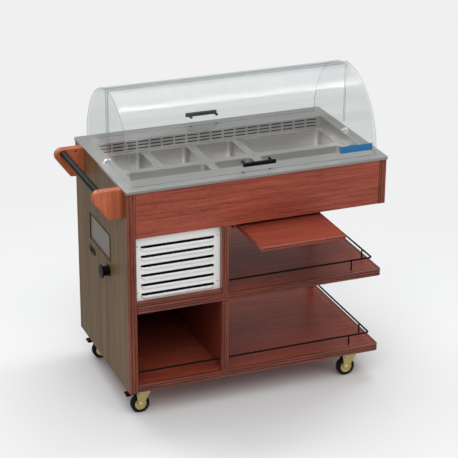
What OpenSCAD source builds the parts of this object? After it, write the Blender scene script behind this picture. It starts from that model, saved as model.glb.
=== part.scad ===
// Refrigerated buffet trolley: a wooden cabinet on casters, with a cold well under a roll-back clear dome,
// an open middle shelf and base shelf, a pull-out board, and the cooling unit behind a louvred grille.
// Millimetres. X runs left to right, Y from front to back, Z up from the floor.

/* [Cabinet] */
// Length over the wooden cabinet
body_w = 890; // [880:1:1000]
// Depth over the wooden cabinet
body_d = 540; // [530:1:620]
// Height of the stainless rim above the floor
top_h = 802; // [780:1:880]
// Height of the wooden apron round the well
apron_h = 160; // [155:1:190]
// Thickness of the apron boards
apron_t = 18; // [15:1:22]
// Thickness of the laminated side panel
side_t = 18; // [15:1:20]
// Width of the front-left post
post_w = 30; // [26:1:40]
// Depth of the reeded posts, front to back
post_d = 22; // [20:1:22]
// Clear width of the left bay, between its two posts
bay_w = 288; // [280:1:300]
// Width of the divider posts
divider_w = 24; // [18:1:30]
// Thickness of the divider panels and the rear panel
panel_t = 12; // [9:1:16]
// Width of the apron's corner posts
corner_w = 26; // [22:1:32]
// Side of the square rear-right post
rear_post_w = 24; // [20:1:30]
// How far the apron boards lie behind the faces of the posts
apron_set = 2; // [1:0.5:4]
// Beads across a reeded post
post_reeds = 3; // [2:1:4]
// Vent slots in the rear panel
rear_slots = 8; // [4:1:10]
// Distance from the rear panel's ends to its slots
rear_slot_in = 50; // [30:1:70]

/* [Shelves] */
// Clear height between the middle shelf and the apron
mid_h = 235.5; // [220:0.5:250]
// Thickness of the middle shelf
mid_t = 25; // [20:1:30]
// Thickness of the base shelf
base_t = 27; // [22:1:32]
// Depth of the edge moulding
mould_d = 12; // [10:1:14]
// Beads on the edge moulding
mould_beads = 3; // [2:1:4]
// Outer radius of the shelves' corners
shelf_r = 14; // [14:1:24]
// How far the shelves' right end lies inside the cabinet's
shelf_set = 2; // [1:0.5:6]
// Groove between board and moulding
groove = 1.5; // [1:0.25:2]

/* [Gallery rails] */
// Diameter of the rail wire
rail_dia = 6; // [4:0.5:8]
// Height of the rail's centre above its shelf
rail_h = 34; // [25:1:50]
// Distance from a shelf's edge to the rail
rail_in = 26; // [26:1:34]
// Inner radius of the rail's bend
rail_bend = 6; // [4:1:12]
// Distance from a shelf's corner to the nearest rail pin
rail_pin_at = 100; // [70:1:140]
// Diameter of the rail pins
rail_pin_dia = 5; // [3:0.5:6]

/* [Rim and well] */
// Thickness of the stainless rim sheet
rim_sheet = 1.5; // [1:0.25:2.5]
// Height of the rim's folded edge
rim_fold = 9; // [6:0.5:14]
// How far the rim stands out over the cabinet
rim_over = 3; // [2.5:0.5:6]
// Outer radius of the rim's corners
rim_r = 5; // [4:0.5:10]
// Front to back width of the well
well_d = 360; // [356:1:372]
// Depth of the well below the rim
well_h = 128; // [120:1:132]
// Distance from the cabinet's ends to the well, before its shift
well_end = 39; // [36:1:50]
// How far the well lies to the right of the cabinet's middle
well_shift = 6; // [0:1:8]
// Thickness of the liner sheet
liner_t = 1.2; // [0.8:0.1:2]
// Insulation beside the well's ends
foam_end = 11.5; // [8:0.5:11.5]
// Insulation in front of the well
foam_side = 28; // [20:1:32]
// Insulation behind the air duct
foam_back = 9; // [6:1:20]
// Insulation under the well
foam_base = 27; // [20:1:28]
// Gap between two boards of the insulation
foam_gap = 0.4; // [0.2:0.1:0.8]
// Front to back depth of the air duct behind the slotted strip
duct_d = 26; // [15:1:30]
// Slots in a row of the air strip
slot_cols = 18; // [10:1:20]
// Rows of slots in the air strip
slot_rows = 4; // [2:1:4]
// Height of one slot
slot_h = 5; // [3:0.5:6]
// Distance from one row of slots to the next
slot_pitch = 11.5; // [9:0.5:12]
// Web between two slots of a row
slot_web = 7; // [4:0.5:12]
// Height of the slotted air strip
strip_h = 50; // [48:1:56]

/* [Pans] */
// Long side of a third-size pan, and of the two end bays of the well (the middle bay takes what is left)
pan_long = 325; // [320:1:330]
// Width of a sixth-size pan
pan_short = 162; // [158:1:162]
// Gap between the pans and the front and back walls of the well
pan_gap = 4; // [2:0.5:6]
// Depth of the pans
pan_h = 65; // [40:1:70]
// Thickness of the pan sheet
pan_t = 1; // [0.8:0.1:1.5]
// Width of the pans' flange
pan_flange = 13; // [12:0.5:16]
// Depth of the pans' flange below the rim
pan_drop = 43; // [38:1:50]
// Corner radius of the pans
pan_r = 18; // [10:1:24]
// Width of the bars between the pans
bar_w = 14; // [10:1:18]
// Thickness of the pan frame
bar_t = 2; // [1.5:0.5:4]
// Width of the ledge that the frame adds along the walls
ledge_w = 8; // [6:0.5:10]

/* [Dome] */
// Distance from the cabinet's front and back to the dome
dome_side = 30; // [28:1:50]
// Thickness of the clear shells
dome_t = 4; // [3:0.5:5]
// Gap between the front shell and the rear shell inside it
dome_gap = 2; // [1:0.5:4]
// Distance from the cabinet's end to the front shell
dome_inset = 25; // [22:1:32]
// Height of the pivots above the rim
pivot_up = 7; // [7:0.5:12]
// Diameter of the pivot pins
pivot_dia = 6; // [5:0.5:7]
// How far the shells reach past the middle at the seam
seam_lap = 2; // [1:0.25:3]
// Height of the buffers under the shells
buffer_h = 1.5; // [1:0.25:3]
// Diameter of the buffers
buffer_dia = 8; // [6:0.5:12]
// Length of the dome handles
grip_l = 110; // [90:1:140]
// Height of the dome handles' section
grip_h = 14; // [10:0.5:18]
// Thickness of the dome handles' section
grip_t = 10; // [8:0.5:14]
// Finger gap behind a dome handle
grip_gap = 18; // [16:1:26]
// Height of the handles above the pivots
grip_up = 27; // [22:1:40]
// Distance between the screws of a dome handle
grip_screws = 92; // [70:1:100]

/* [Pull-out board] */
// Width of the pull-out board
tray_w = 285; // [240:1:330]
// Length of the pull-out board
tray_l = 400; // [360:1:420]
// Thickness of the pull-out board
tray_t = 14; // [12:0.5:18]
// Distance from the divider post to the board
tray_from = 39; // [25:1:60]
// Gap between the apron and the board's top
tray_drop = 12; // [8:1:20]
// How far the board stands out
tray_out = 176; // [100:1:220]
// How deep a runner's groove holds the board
runner_grip = 8; // [5:0.5:12]
// Wall of the runners
runner_t = 10; // [6:0.5:14]
// Distance from the front to the runners
runner_set = 40; // [30:1:60]
// Running clearance of the board in its runners
tray_clear = 0.3; // [0.2:0.05:0.5]
// Gap between the board's top and the runners' upper lips
tray_lift = 2.5; // [2.1:0.1:4]

/* [Push handle] */
// How far the brackets stand out
bracket_reach = 95; // [80:1:120]
// Height of the brackets
bracket_h = 100; // [90:1:120]
// Thickness of the brackets
bracket_t = 28; // [22:1:36]
// Front to back place of the front bracket
bracket_front = 39; // [34:1:60]
// Front to back place of the rear bracket
bracket_rear = 446; // [400:1:460]
// Rounding of the brackets' edges
bracket_edge = 4; // [2:0.5:6]
// Diameter of the screw hole in a bracket's inner face
bracket_hole = 7; // [4:0.5:9]
// Diameter of the push bar
bar_dia = 22; // [18:0.5:26]
// Depth of the push bar's sockets
socket_h = 14; // [8:1:18]
// Distance from the brackets' tops to the bar's centre
bar_drop = 15; // [14:0.5:22]
// Drop of the brackets below the rim
bracket_drop = 3; // [1:0.5:10]

/* [Control side] */
// Width of the control plate
plate_w = 210; // [160:1:230]
// Height of the control plate
plate_h = 86; // [60:1:100]
// Front to back place of the control plate
plate_at = 180; // [150:1:200]
// Distance from the rim down to the control plate
plate_drop = 216; // [200:1:230]
// Depth of the control plate's recess
plate_deep = 4; // [3:0.5:6]
// Thickness of the control plate
plate_t = 1.5; // [1:0.25:2]
// Front to back place of the switch
switch_at = 373; // [350:1:420]
// Distance from the rim down to the switch and the bobbin
switch_drop = 344; // [330:1:370]
// Length of the switch's bezel
bezel_w = 62; // [50:1:70]
// Height of the switch's bezel
bezel_h = 22; // [18:0.5:28]
// Thickness of the switch's bezel
bezel_t = 2; // [1.5:0.25:3]
// Length of the rocker
rocker_w = 26; // [20:0.5:30]
// Height of the rocker
rocker_h = 12; // [8:0.5:14]
// Tilt of the rocker to either side
rocker_tilt = 6; // [4:0.5:8]
// Front to back place of the cord bobbin
bobbin_at = 199; // [120:1:260]
// Diameter of the bobbin's flange
bobbin_dia = 47; // [40:1:60]
// Diameter of the bobbin's core
bobbin_core = 33; // [24:1:38]
// How far the bobbin stands out
bobbin_l = 27; // [20:1:40]

/* [Grille] */
// Thickness of the grille's sheet
grille_t = 1.5; // [1:0.25:2]
// Height of the wooden sill under the grille
sill_h = 13; // [8:1:20]
// How far the sill lies behind the posts' faces
sill_in = 6; // [2:0.5:10]
// Number of louvres
louvres = 6; // [4:1:6]
// Distance from the lowest slot to the grille's foot
louvre_foot = 31.5; // [28:0.5:40]
// Distance from the grille's top to the first slot
louvre_from = 41; // [36:1:44]
// Length of the louvres
louvre_l = 251; // [220:1:256]
// Radius of the pressed hoods
hood_r = 20; // [16:0.5:22]
// How far the hoods stand out
hood_out = 8; // [5:0.5:10]
// Height of the slot above a hood's lip
slot_up = 6; // [3:0.5:8]

/* [Cooling unit] */
// Width of the condenser
cond_w = 236; // [200:1:240]
// Height of the condenser
cond_h = 190; // [176:1:200]
// Depth of the condenser
cond_d = 38; // [30:1:50]
// Number of condenser fins
cond_fins = 22; // [12:1:30]
// Rows of condenser tubes
cond_rows = 5; // [3:1:6]
// Diameter of the fan blade
fan_dia = 160; // [120:1:164]
// Number of fan blades
fan_blades = 5; // [3:1:6]
// Depth of the fan blade
fan_h = 14; // [10:1:18]
// Diameter of the fan motor
motor_dia = 72; // [60:1:90]
// Length of the fan motor
motor_l = 50; // [40:1:60]
// Diameter of the compressor
comp_dia = 150; // [130:1:156]
// Height of the compressor's shell
comp_h = 140; // [120:1:150]
// Gap between the compressor and the rear panel
comp_gap = 21; // [10:1:30]
// Diameter of the cooling tube
coil_dia = 8; // [6:0.5:8]
// Runs of the cooling tube under the well
coil_runs = 6; // [4:2:8]
// Distance from the well's front to the first run
coil_in = 30; // [20:1:50]

/* [Casters] */
// Height of the base shelf's underside above the floor
caster_h = 101; // [98:1:120]
// Diameter of the wheels
wheel_dia = 63; // [56:1:66]
// Width of the tyres
tyre_w = 22; // [18:0.5:24]
// Diameter of the hubs
hub_dia = 40; // [32:0.5:46]
// Diameter of the axles
axle_dia = 8; // [6:0.5:10]
// Trail from a caster's swivel axis to its wheel
trail = 22; // [16:0.5:28]
// Distance from the cabinet's ends to the swivel axes
caster_x = 74; // [60:1:110]
// Distance from the cabinet's front and back to the swivel axes
caster_y = 60; // [50:1:90]
// Side of the casters' fixing plates
caster_plate = 56; // [50:1:70]
// Thickness of the fork legs
fork_t = 3; // [2.5:0.25:4]
// Diameter of the king pins
king_dia = 10; // [8:0.5:12]
// Length of the brake pedals from the swivel axis
pedal_l = 76; // [70:1:84]
// Width of the brake pedals
pedal_w = 24; // [16:1:24]

/* [Hidden] */
$fn = 64;
// Radial clearance of the pivots, axles and king pins
fit = 0.05;
// Gap at which a piece sits beside the piece that carries it
seat = 0.3;
// Overlap that makes a cut reach past a face
past = 1;

base_z = caster_h;
base_top = caster_h + base_t;
wood_top = top_h - rim_sheet;
apron_z = wood_top - apron_h;
mid_top = apron_z - mid_h;
mid_z = mid_top - mid_t;
shelf_x1 = body_w - shelf_set;
divider_x = post_w + bay_w;
divider_x1 = divider_x + divider_w;
panel_x = divider_x + (divider_w - panel_t) / 2;
panel_x1 = panel_x + panel_t;
back_y1 = body_d - mould_d;
back_y = back_y1 - panel_t;
apron_back = body_d - apron_set - apron_t;
rear_post_x = shelf_x1 - mould_d - rear_post_w;
rear_post_y = back_y1 - rear_post_w;

well_l = body_w - 2 * well_end;
well_x = well_end + well_shift;
well_y = (body_d - well_d) / 2;
well_z = top_h - well_h;
liner_flange = 10;
duct_y = well_y + well_d + liner_t;
tub_x = well_x - liner_t - foam_end;
tub_x1 = well_x + well_l + liner_t + foam_end;
tub_y = well_y - liner_t - foam_side;
tub_y1 = duct_y + duct_d + foam_back;
tub_z = well_z - liner_t - foam_base;
strip_z = top_h - rim_sheet - liner_t - strip_h;
strip_end = 8;
frame_z = top_h - pan_drop - bar_t;
pan_d = well_d / 2 - pan_gap;
pan_mid = well_l - 2 * pan_long;
coil_z = well_z - liner_t - coil_dia / 2;
coil_depth = coil_dia + 1;
coil_clear = 16;
drop_r = 12;

mid_y = body_d / 2;
mid_x = body_w / 2;
pivot_z = top_h + pivot_up;
dome_r = body_d / 2 - dome_side;
rear_r = dome_r - dome_t - dome_gap;
end_step = dome_t + dome_gap;
skirt = pivot_up - buffer_h - seat;
ear_gap = 0.5;
screw_dia = 4;

tray_x = divider_x1 + tray_from;
tray_z = apron_z - tray_drop - tray_t;
runner_l = tray_l + 30;

handle_z = top_h - bracket_drop;
bar_x = -bracket_reach + 26;
bar_z = handle_z - bar_drop;

switch_z = top_h - switch_drop;
plate_z = top_h - plate_drop - plate_h;
rocker_x = 4;
rocker_clear = 0.4;
rocker_pin = 3;

grille_y = post_d;
grille_top = apron_z;
louvre_pitch = (mid_h - louvre_from - louvre_foot) / (louvres - 1);

unit_x = side_t + 22;
unit_w = panel_x - side_t - 44;
unit_y = grille_y + 33;
comp_y = back_y - comp_gap - comp_dia / 2;
unit_l = comp_y + comp_dia / 2 + 10 - unit_y;
unit_t = 2;
cond_x = side_t + (panel_x - side_t - cond_w) / 2;
cond_y = unit_y + 6;
cond_z = mid_top + unit_t;
fan_x = cond_x + cond_w / 2;
fan_z = cond_z + cond_h / 2;
shroud_y = cond_y + cond_d;
shroud_l = 22;
fan_y = shroud_y + 4;
motor_y = fan_y + fan_h + 4;
comp_x = fan_x;
foot_h = 16;
comp_z = cond_z + foot_h;

wheel_r = wheel_dia / 2;
plate_cast_t = 3;
race_h = 6;
fork_top = caster_h - plate_cast_t - race_h - seat;
fork_head = 5;
leg_y = tyre_w / 2 + 2;
pedal_x = -30;
pedal_z = wheel_dia + 9;
caster_spots = [
    [caster_x, caster_y],
    [body_w - caster_x, caster_y],
    [caster_x, body_d - caster_y],
    [body_w - caster_x, body_d - caster_y]
];

// The origin is under the middle of the whole object, with the board out and the push handle at the left
x_low = -bracket_reach;
x_high = body_w + rim_over;
y_low = -tray_out;
y_high = body_d + rim_over;
origin_x = (x_low + x_high) / 2;
origin_y = (y_low + y_high) / 2;

WOOD = "#8a4636";
DARK_WOOD = "#6f3329";
LAMINATE = "#6b6052";
STEEL = "#b4b5b3";
BLACK = "#1c1c1c";
WHITE = "#ececea";
BRASS = "#c9ab62";

// Helpers

module place() {
    translate([-origin_x, -origin_y, 0]) children();
}

module slab(x0, x1, y0, y1, z0, z1) {
    translate([x0, y0, z0]) cube([x1 - x0, y1 - y0, z1 - z0]);
}

// Rod along X, Y or Z from a start point
module rod(axis, start, l, d) {
    turn = axis == "x" ? [0, 90, 0] : axis == "y" ? [-90, 0, 0] : [0, 0, 0];
    translate(start) rotate(turn) cylinder(d = d, h = l);
}

module rounded(w, d, r) {
    translate([r, 0]) square([w - 2 * r, d]);
    translate([0, r]) square([w, d - 2 * r]);
    for (x = [r, w - r], y = [r, d - r]) translate([x, y]) circle(r = r);
}

// Plan of a post with round beads on its front face
module reeds(w, d, n) {
    r = w / n / 2;
    translate([0, r]) square([w, d - r]);
    for (i = [0 : n - 1]) translate([r * (2 * i + 1), r]) circle(r = r);
}

// Section of an edge moulding: outer face at x = 0, height t
module edge_profile(t) {
    r = t / mould_beads / 2;
    difference() {
        union() {
            translate([r, 0]) square([mould_d - r, t]);
            for (i = [0 : mould_beads - 1]) translate([r, r * (2 * i + 1)]) circle(r = r);
        }
        translate([mould_d - groove, t - groove]) square([groove + past, groove + past]);
    }
}

module front_run(x0, x1, t) {
    translate([x0, 0, 0]) rotate([90, 0, 90]) linear_extrude(x1 - x0) edge_profile(t);
}

// Moulding along a shelf's front, right end and back
module shelf_moulding(z, t, back_x) {
    r = shelf_r;
    translate([0, 0, z]) {
        front_run(post_w, shelf_x1 - r, t);
        translate([0, body_d, 0]) mirror([0, 1, 0]) front_run(back_x, shelf_x1 - r, t);
        translate([shelf_x1, body_d - r, 0]) mirror([1, 0, 0]) rotate([90, 0, 0])
            linear_extrude(body_d - 2 * r) edge_profile(t);
        for (k = [0, 1]) translate([shelf_x1 - r, k == 0 ? r : body_d - r, 0]) rotate([0, 0, k == 0 ? -90 : 0])
            rotate_extrude(angle = 90) translate([r, 0]) mirror([1, 0]) edge_profile(t);
    }
}

module board(x0, z, t) {
    r = shelf_r - mould_d;
    x1 = shelf_x1 - mould_d;
    y1 = body_d - mould_d;
    translate([0, 0, z]) linear_extrude(t) {
        translate([x0, mould_d]) square([x1 - r - x0, y1 - mould_d]);
        translate([x1 - 2 * r, mould_d + r]) square([2 * r, y1 - mould_d - 2 * r]);
        for (y = [mould_d + r, y1 - r]) translate([x1 - r, y]) circle(r = r);
    }
}

// Cabinet

module side_panel() {
    color(LAMINATE) place() difference() {
        slab(0, side_t, post_d, body_d, base_z, wood_top);
        slab(-past, plate_deep, plate_at, plate_at + plate_w, plate_z, plate_z + plate_h);
        translate([-past, switch_at - bezel_w / 2 + 6, switch_z - bezel_h / 2 + 3])
            cube([side_t + 2 * past, bezel_w - 12, bezel_h - 6]);
    }
}

module front_left_post() {
    color(WOOD) place() translate([0, 0, base_z]) linear_extrude(wood_top - base_z)
        reeds(post_w, post_d, post_reeds);
}

module divider_posts() {
    color(WOOD) place() for (z = [[base_top, mid_z], [mid_top, apron_z]])
        translate([divider_x, 0, z[0]]) linear_extrude(z[1] - z[0]) reeds(divider_w, post_d, post_reeds);
}

module divider_panels() {
    color(DARK_WOOD) place() for (z = [[base_top, mid_z], [mid_top, apron_z]])
        slab(panel_x, panel_x1, post_d, back_y, z[0], z[1]);
}

module rear_panel() {
    low = mid_top + 40;
    step = (apron_z - 30 - low) / rear_slots;
    color(DARK_WOOD) place() difference() {
        slab(side_t, panel_x1, back_y, back_y1, base_top, apron_z);
        for (i = [0 : rear_slots - 1])
            slab(side_t + rear_slot_in, panel_x1 - rear_slot_in, back_y - past, back_y1 + past,
                low + i * step, low + i * step + 7);
    }
}

module rear_right_post() {
    color(WOOD) place() intersection() {
        slab(rear_post_x, rear_post_x + rear_post_w, rear_post_y, back_y1, base_top, apron_z);
        board(rear_post_x - past, base_top, apron_z - base_top);
    }
}

module base_board() {
    color(WOOD) place() difference() {
        board(side_t, base_z, base_t);
        slab(0, post_w, 0, post_d, base_z - past, base_top + past);
    }
}

module base_moulding() {
    color(WOOD) place() shelf_moulding(base_z, base_t, side_t);
}

module mid_board() {
    color(WOOD) place() difference() {
        board(side_t, mid_z, mid_t);
        slab(0, post_w, 0, post_d, mid_z - past, mid_top + past);
        slab(0, panel_x1, back_y, body_d, mid_z - past, mid_top + past);
        slab(rear_post_x, rear_post_x + rear_post_w + past, rear_post_y, body_d, mid_z - past, mid_top + past);
    }
}

module mid_moulding() {
    color(WOOD) place() shelf_moulding(mid_z, mid_t, panel_x1);
}

module apron_front() {
    color(WOOD) place() slab(post_w, body_w - corner_w, apron_set, apron_set + apron_t, apron_z, wood_top);
}

module apron_right() {
    x1 = body_w - apron_set;
    color(WOOD) place() slab(x1 - apron_t, x1, corner_w, body_d - corner_w, apron_z, wood_top);
}

module apron_back() {
    color(WOOD) place() slab(side_t, body_w - corner_w, apron_back, apron_back + apron_t, apron_z, wood_top);
}

module apron_corner_posts() {
    color(WOOD) place() for (y = [0, 1])
        translate([body_w - corner_w, y * body_d, apron_z]) mirror([0, y, 0])
            linear_extrude(apron_h) reeds(corner_w, corner_w, post_reeds);
}

// Rim, well and pans

module rim_top() {
    over = rim_over;
    w = body_w + 2 * over;
    d = body_d + 2 * over;
    color(STEEL) place() difference() {
        translate([-over, -over, top_h - rim_fold]) linear_extrude(rim_fold) rounded(w, d, rim_r);
        translate([rim_sheet - over, rim_sheet - over, top_h - rim_fold - past])
            linear_extrude(rim_fold + past - rim_sheet) rounded(w - 2 * rim_sheet, d - 2 * rim_sheet,
                rim_r - rim_sheet);
        slab(well_x, well_x + well_l, well_y, well_y + well_d, top_h - rim_fold - past, top_h + past);
    }
}

module well_liner() {
    x1 = well_x + well_l;
    y1 = well_y + well_d;
    t = liner_t;
    f = liner_flange;
    color(STEEL) place() difference() {
        union() {
            slab(well_x - t, x1 + t, well_y - t, y1 + t, well_z - t, wood_top);
            slab(well_x - t - f, x1 + t + f, well_y - t - f, y1 + t + f, wood_top - t, wood_top);
        }
        slab(well_x, x1, well_y, y1, well_z, wood_top + past);
        slab(well_x + strip_end, x1 - strip_end, y1 - past, y1 + t + past, strip_z, strip_z + strip_h);
    }
}

module vent_strip() {
    y = well_y + well_d;
    x0 = well_x + strip_end;
    l = well_l - 2 * strip_end;
    step = (l - slot_web) / slot_cols;
    low = strip_z + (strip_h - slot_pitch * (slot_rows - 1) - slot_h) / 2;
    color(STEEL) place() difference() {
        slab(x0, x0 + l, y, y + liner_t, strip_z, strip_z + strip_h);
        for (i = [0 : slot_cols - 1], j = [0 : slot_rows - 1])
            translate([x0 + slot_web + i * step, y - past, low + j * slot_pitch])
                cube([step - slot_web, liner_t + 2 * past, slot_h]);
    }
}

module insulation_tub() {
    t = liner_t;
    x1 = well_x + well_l;
    y1 = well_y + well_d;
    top = wood_top - t;
    base = well_z - t - coil_depth;
    foot = base + foam_gap;
    color("#e4dcc0") place() {
        difference() {
            slab(tub_x, tub_x1, tub_y, tub_y1, tub_z, base);
            slab(coil_x() - coil_dia / 2 - seat, coil_x() + drop_r + coil_dia, comp_y - coil_dia / 2 - seat,
                comp_y + coil_dia / 2 + seat, coil_z - drop_r, well_z);
            rod("z", [coil_x(), comp_y, tub_z - past], foam_base + 2 * past, coil_dia + 2 * seat);
        }
        slab(tub_x, tub_x1, tub_y, well_y - t, foot, top);
        difference() {
            slab(tub_x, tub_x1, y1 + t, tub_y1, foot, top);
            slab(well_x + strip_end, x1 - strip_end, y1, duct_y + duct_d, strip_z - 12, wood_top);
            slab(well_x + 10, x1 - 10, coil_y(0) - coil_dia / 2 - coil_clear, comp_y + coil_dia / 2 + coil_clear,
                base, well_z);
        }
        slab(tub_x, well_x - t, well_y - t + foam_gap, y1 + t - foam_gap, foot, top);
        slab(x1 + t, tub_x1, well_y - t + foam_gap, y1 + t - foam_gap, foot, top);
    }
}

// Cooling tube: parallel runs under the liner, joined by bends, and the line down to the compressor
function coil_x() = comp_x;
function coil_pitch() = (comp_y - well_y - coil_in) / (coil_runs - 1);
function coil_y(i) = well_y + coil_in + i * coil_pitch();

module coil_bend(x, y, turn) {
    translate([x, y, coil_z]) rotate([0, 0, turn]) rotate_extrude(angle = 180)
        translate([coil_pitch() / 2, 0]) circle(d = coil_dia);
}

module evaporator_coil() {
    x1 = well_x + well_l - coil_pitch() / 2 - coil_in;
    x0 = coil_x() + coil_dia;
    y = coil_y(coil_runs - 1);
    stub_z = comp_z + comp_h;
    color("#b8743f") place() {
        for (i = [0 : coil_runs - 2]) rod("x", [x0, coil_y(i), coil_z], x1 - x0, coil_dia);
        for (i = [0 : coil_runs - 2])
            coil_bend(i % 2 == 0 ? x1 : x0, coil_y(i) + coil_pitch() / 2, i % 2 == 0 ? -90 : 90);
        rod("x", [coil_x() + drop_r, y, coil_z], x1 - coil_x() - drop_r, coil_dia);
        translate([coil_x() + drop_r, y, coil_z - drop_r]) rotate([90, 0, 0]) rotate([0, 0, 90])
            rotate_extrude(angle = 90) translate([drop_r, 0]) circle(d = coil_dia);
        rod("z", [coil_x(), y, stub_z], coil_z - drop_r - stub_z, coil_dia);
    }
}

module pan_frame() {
    x1 = well_x + well_l;
    y1 = well_y + well_d;
    z1 = frame_z + bar_t;
    color(STEEL) place() {
        difference() {
            slab(well_x, x1, well_y, y1, frame_z, z1);
            slab(well_x + ledge_w, x1 - ledge_w, well_y + ledge_w, y1 - ledge_w, frame_z - past, z1 + past);
        }
        for (x = [well_x + pan_long, x1 - pan_long])
            slab(x - bar_w / 2, x + bar_w / 2, well_y + ledge_w, y1 - ledge_w, frame_z, z1);
        for (x = [[well_x + ledge_w, well_x + pan_long - bar_w / 2],
                [well_x + pan_long + bar_w / 2, x1 - pan_long - bar_w / 2],
                [x1 - pan_long + bar_w / 2, x1 - ledge_w]])
            slab(x[0], x[1], mid_y - bar_w / 2, mid_y + bar_w / 2, frame_z, z1);
        slab(well_x + (pan_long - bar_w) / 2, well_x + (pan_long + bar_w) / 2, mid_y + bar_w / 2, y1 - ledge_w,
            frame_z, z1);
    }
}

// A pan whose place in the frame is w wide, with its middle at x, in the front or the back row
module pan(x, row, w) {
    fw = w - 1;
    fd = pan_d - 1;
    bw = fw - 2 * pan_flange;
    bd = fd - 2 * pan_flange;
    z = frame_z + bar_t;
    translate([x - fw / 2, mid_y + row * pan_d / 2 - fd / 2, z]) difference() {
        union() {
            linear_extrude(pan_t) rounded(fw, fd, 8);
            translate([pan_flange, pan_flange, pan_t - pan_h]) linear_extrude(pan_h) rounded(bw, bd, pan_r);
        }
        translate([pan_flange + pan_t, pan_flange + pan_t, 2 * pan_t - pan_h]) linear_extrude(pan_h)
            rounded(bw - 2 * pan_t, bd - 2 * pan_t, pan_r - pan_t);
    }
}

module pans_third() {
    color("#c3c4c2") place() {
        pan(well_x + pan_long / 2, -1, pan_long);
        for (row = [-1, 1]) pan(well_x + well_l - pan_long / 2, row, pan_long);
    }
}

module pans_sixth() {
    color("#c3c4c2") place() {
        for (x = [0.25, 0.75]) pan(well_x + x * pan_long, 1, pan_short);
        for (row = [-1, 1]) pan(well_x + well_l / 2, row, pan_mid);
    }
}

// Pull-out board

module pull_out_tray() {
    bead = tray_t / 2;
    color(WOOD) place() translate([tray_x, -tray_out, tray_z]) {
        translate([0, bead / 2, 0]) cube([tray_w, tray_l - bead / 2, tray_t]);
        for (z = [bead / 2, tray_t - bead / 2]) rod("x", [0, bead / 2, z], tray_w, bead);
    }
}

module tray_runners() {
    color(DARK_WOOD) place() for (side = [0, 1])
        translate([tray_x + side * tray_w, runner_set, 0]) mirror([side, 0, 0]) difference() {
            slab(-runner_t, runner_grip, 0, runner_l, tray_z - runner_t / 2, tub_z);
            slab(-tray_clear, runner_grip + past, -past, runner_l + past, tray_z - tray_clear,
                tray_z + tray_t + tray_lift);
        }
}

// Dome: side is -1 for the front shell and 1 for the rear one, which lies inside it.
// The small circle is the ear round the pivot in each end wall.

module half_dome(r, side) {
    intersection() {
        circle(r = r);
        translate([side < 0 ? -r - past : -seam_lap, -skirt])
            square([r + past + seam_lap, r + skirt + past]);
    }
    circle(r = pivot_up - ear_gap);
}

module dome_shell(r, side, step) {
    x0 = dome_inset + step;
    x1 = body_w - x0;
    hx = mid_x;
    place() difference() {
        translate([x0, mid_y, pivot_z]) rotate([90, 0, 90]) difference() {
            linear_extrude(x1 - x0) half_dome(r, side);
            translate([0, 0, dome_t]) linear_extrude(x1 - x0 - 2 * dome_t) circle(r = r - dome_t);
        }
        rod("x", [x0 - past, mid_y, pivot_z], x1 - x0 + 2 * past, pivot_dia + 2 * fit);
        for (x = [hx - grip_screws / 2, hx + grip_screws / 2])
            rod("y", [x, mid_y + (side < 0 ? -r - past : r - 20), pivot_z + grip_up], 20 + past, screw_dia + 2 * fit);
    }
}

module dome_front_shell() {
    color("#c9d4cf", 0.45) dome_shell(dome_r, -1, 0);
}

module dome_rear_shell() {
    color("#c9d4cf", 0.45) dome_shell(rear_r, 1, end_step);
}

// Bar handle on two spacers, drawn in front of the shell and mirrored for the rear one
module dome_handle(r, side) {
    wall = sqrt(r * r - grip_up * grip_up);
    inner = sqrt((r - dome_t) * (r - dome_t) - grip_up * grip_up);
    out = wall + grip_gap;
    place() translate([mid_x, mid_y, pivot_z + grip_up]) mirror([0, side > 0 ? 1 : 0, 0]) {
        translate([-grip_l / 2, -out - grip_t, -grip_h / 2]) rotate([90, 0, 90])
            linear_extrude(grip_l) rounded(grip_t, grip_h, 4);
        for (x = [-grip_screws / 2, grip_screws / 2]) {
            difference() {
                rod("y", [x, -out, 0], grip_gap + 6, 9);
                translate([x - 10, 0, -grip_up]) rotate([0, 90, 0]) cylinder(r = r + seat / 3, h = 20, $fn = 128);
            }
            rod("y", [x, -out, 0], out - inner + 1, screw_dia);
            difference() {
                rod("y", [x, -inner - 2, 0], 4.5, 9);
                translate([x - 10, 0, -grip_up]) rotate([0, 90, 0]) difference() {
                    cylinder(r = r + 20, h = 20, $fn = 128);
                    translate([0, 0, -past]) cylinder(r = r - dome_t - seat / 3, h = 20 + 2 * past, $fn = 128);
                }
            }
        }
    }
}

module dome_handle_front() {
    color(BLACK) dome_handle(dome_r, -1);
}

module dome_handle_rear() {
    color(BLACK) dome_handle(rear_r, 1);
}

// Bracket and pin at each end of the dome
module pivot() {
    tab = 3;
    half = pivot_up;
    x1 = dome_inset - 2;
    inner = dome_inset + end_step + dome_t + seat;
    translate([0, mid_y, 0]) {
        slab(x1 - 12, x1, -half, half, top_h, top_h + 2);
        slab(x1 - tab, x1, -half, half, top_h, pivot_z);
        rod("x", [x1 - tab, 0, pivot_z], tab, 2 * half);
        rod("x", [x1 - tab - 4, 0, pivot_z], inner + 2 - x1 + tab + 4, pivot_dia);
        rod("x", [x1 - tab - 4, 0, pivot_z], 4, 10);
        rod("x", [inner, 0, pivot_z], 2, 9);
    }
}

module dome_pivots() {
    color(STEEL) place() {
        pivot();
        translate([body_w, 0, 0]) mirror([1, 0, 0]) pivot();
    }
}

module dome_buffers() {
    color(BLACK) place() for (x = [mid_x - grip_screws / 2, mid_x + grip_screws / 2],
            y = [mid_y - dome_r + dome_t / 2, mid_y + rear_r - dome_t / 2])
        rod("z", [x, y, top_h], buffer_h, buffer_dia);
}

// Push handle

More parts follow.
